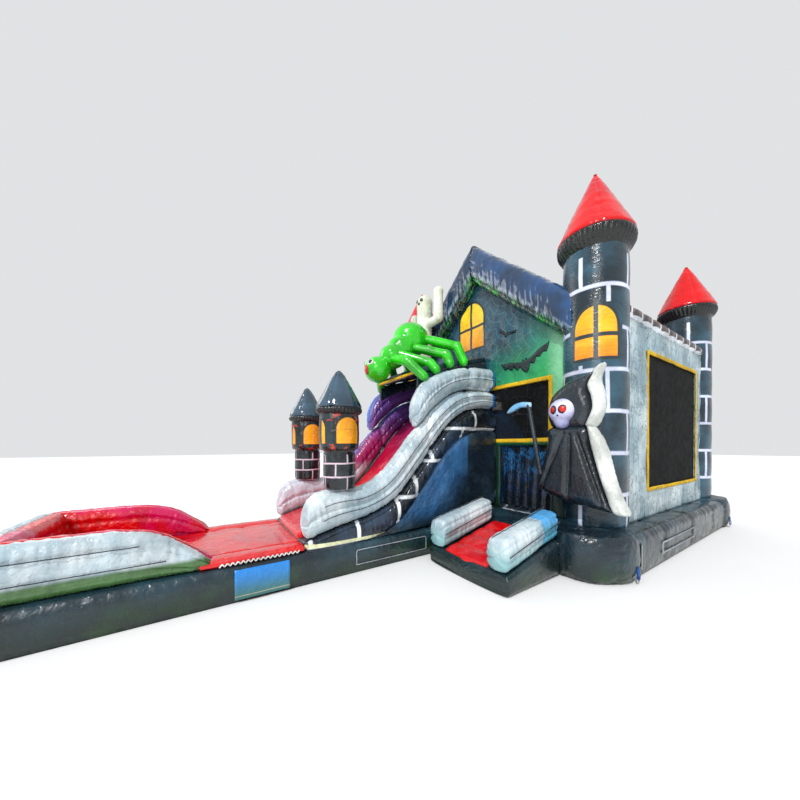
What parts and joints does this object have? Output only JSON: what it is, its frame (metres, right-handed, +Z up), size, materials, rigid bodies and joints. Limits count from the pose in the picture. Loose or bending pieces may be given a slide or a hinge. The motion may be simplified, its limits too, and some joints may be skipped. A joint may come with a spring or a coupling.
{
  "type": "inflatable bounce house",
  "caption": "Inflatable castle-style bounce house with corner towers, gabled front, entrance ramp, side nets, and an outside slide running down into a splash pool; fed by an electric blower.",
  "frame": {"origin": "on the ground at the centre of the house, midway between its four corner towers", "axes": "+Z up; -Y to the front, where the ramp, slide and pool are; +X to the right-hand side seen from the front"},
  "size_m": [5.028, 10.945, 5.039],
  "materials": {
    "dark_vinyl": "gloss",
    "red_vinyl": "gloss",
    "white_vinyl": "gloss",
    "stone_vinyl": "gloss",
    "front_vinyl": "gloss",
    "roof_vinyl": "gloss",
    "mesh_net": "matte",
    "green_vinyl": "gloss",
    "cone_vinyl": "gloss",
    "robe_vinyl": "gloss",
    "blue_vinyl": "gloss",
    "orange_vinyl": "gloss",
    "webbing": "matte",
    "blower_plastic": "satin",
    "blower_metal": "satin",
    "ring_steel": "satin",
    "zip_plastic": "satin"
  },
  "bodies": {
    "house": {"bounce_floor": "dark_vinyl", "base_tubes": "dark_vinyl", "tower_front_right": "dark_vinyl", "tower_front_left": "dark_vinyl", "tower_rear_right": "dark_vinyl", "tower_rear_left": "dark_vinyl", "tower_collars": "dark_vinyl", "tower_roofs": "red_vinyl", "right_wall": "stone_vinyl", "left_wall": "stone_vinyl", "rear_wall": "stone_vinyl", "window_nets": "mesh_net", "wall_top_beams": "dark_vinyl", "front_wall": "front_vinyl", "gable_beam_right": "roof_vinyl", "gable_beam_left": "roof_vinyl", "roof_panels": "roof_vinyl", "rear_gable": "stone_vinyl", "ramp_base": "dark_vinyl", "ramp_bolsters": "white_vinyl", "slide_body": "dark_vinyl", "slide_bed": "red_vinyl", "slide_bolster_right": "white_vinyl", "slide_bolster_left": "white_vinyl", "slide_canopy": "roof_vinyl", "climb_wall": "blue_vinyl", "climb_holds": "orange_vinyl", "exit_turrets": "dark_vinyl", "exit_turret_roofs": "cone_vinyl", "pool_base": "dark_vinyl", "pool_liner": "red_vinyl", "pool_bolster_right": "white_vinyl", "pool_bolster_left": "white_vinyl", "pool_bolster_end": "white_vinyl", "spider_body": "green_vinyl", "spider_legs": "green_vinyl", "hooded_robe": "robe_vinyl", "hooded_head": "robe_vinyl", "scythe": "blue_vinyl", "ghost": "white_vinyl", "hoop_board": "white_vinyl", "hoop_ring": "orange_vinyl", "blower_housing": "blower_plastic", "blower_motor": "blower_metal", "blower_grille": "blower_metal", "blower_gland": "zip_plastic", "inflation_tube": "dark_vinyl", "tube_strap": "webbing", "spare_tube": "dark_vinyl", "anchor_tabs": "webbing", "zip_strip": "zip_plastic"},
    "door_flap_left": {"door_flap_left": "blue_vinyl"},
    "door_flap_right": {"door_flap_right": "blue_vinyl"},
    "impeller": {"blower_impeller": "blower_metal"},
    "switch_rocker": {"blower_switch": "zip_plastic"},
    "zip_pull": {"zip_slider": "ring_steel"},
    "ring_front_right": {"anchor_ring_front_right": "ring_steel"},
    "ring_rear_right": {"anchor_ring_rear_right": "ring_steel"},
    "ring_front_left": {"anchor_ring_front_left": "ring_steel"},
    "ring_rear_left": {"anchor_ring_rear_left": "ring_steel"}
  },
  "joints": [
    {"name": "door_flap_left_swing", "type": "hinge", "parent": "house", "child": "door_flap_left", "pos_m": [0.708, -1.9, 1.482], "axis": [1, 0, 0], "range_deg": [-75, 75]},
    {"name": "door_flap_right_swing", "type": "hinge", "parent": "house", "child": "door_flap_right", "pos_m": [1.162, -1.9, 1.482], "axis": [1, 0, 0], "range_deg": [-75, 75]},
    {"name": "impeller_spin", "type": "hinge", "parent": "house", "child": "impeller", "pos_m": [-1.25, 3.15, 0.255], "axis": [1, 0, 0], "continuous": true},
    {"name": "switch_rock", "type": "hinge", "parent": "house", "child": "switch_rocker", "pos_m": [-1.398, 3.03, 0.255], "axis": [0, 1, 0], "range_deg": [-10, 10]},
    {"name": "ring_front_right_swing", "type": "hinge", "parent": "house", "child": "ring_front_right", "pos_m": [2.503, -2.18, 0.065], "axis": [0, -1, 0], "range_deg": [-8, 110]},
    {"name": "ring_rear_right_swing", "type": "hinge", "parent": "house", "child": "ring_rear_right", "pos_m": [2.503, 1.91, 0.065], "axis": [0, -1, 0], "range_deg": [-8, 110]},
    {"name": "ring_front_left_swing", "type": "hinge", "parent": "house", "child": "ring_front_left", "pos_m": [-2.503, -2.18, 0.065], "axis": [0, 1, 0], "range_deg": [-8, 110]},
    {"name": "ring_rear_left_swing", "type": "hinge", "parent": "house", "child": "ring_rear_left", "pos_m": [-2.503, 1.91, 0.065], "axis": [0, 1, 0], "range_deg": [-8, 110]},
    {"name": "zip_slide", "type": "slide", "parent": "house", "child": "zip_pull", "axis": [1, 0, 0], "range_m": [0, 0.83]}
  ]
}
